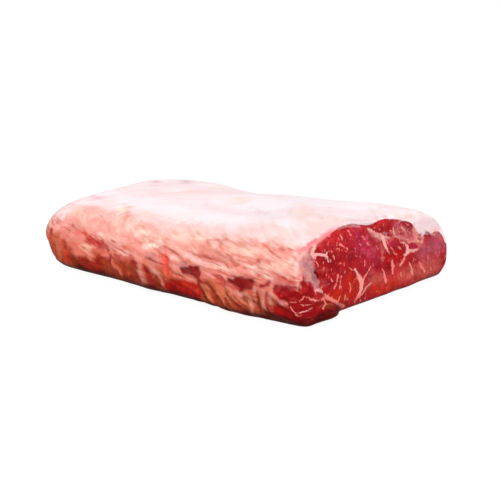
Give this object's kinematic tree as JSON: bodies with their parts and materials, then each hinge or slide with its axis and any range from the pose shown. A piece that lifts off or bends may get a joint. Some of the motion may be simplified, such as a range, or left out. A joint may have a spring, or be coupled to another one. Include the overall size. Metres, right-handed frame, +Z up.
{
  "type": "raw beef loin",
  "caption": "Boneless strip loin of raw beef lying flat, cut across at one end, with marbled lean and a white fat cap over its top and upper sides.",
  "frame": {"origin": "middle of the base, on the surface the loin lies on", "axes": "+X along the loin towards its cut face, +Y across it from the thick side to the thin flank side, +Z up through the fat cap"},
  "size_m": [0.3832, 0.255, 0.0885],
  "materials": {
    "lean_meat": "raw lean beef, deep red with pale marbling and a wet sheen",
    "beef_fat": "raw beef fat, pinkish white, smooth and moist"
  },
  "bodies": {
    "root": {"lean": "lean_meat", "fat_cap": "beef_fat"}
  },
  "joints": []
}
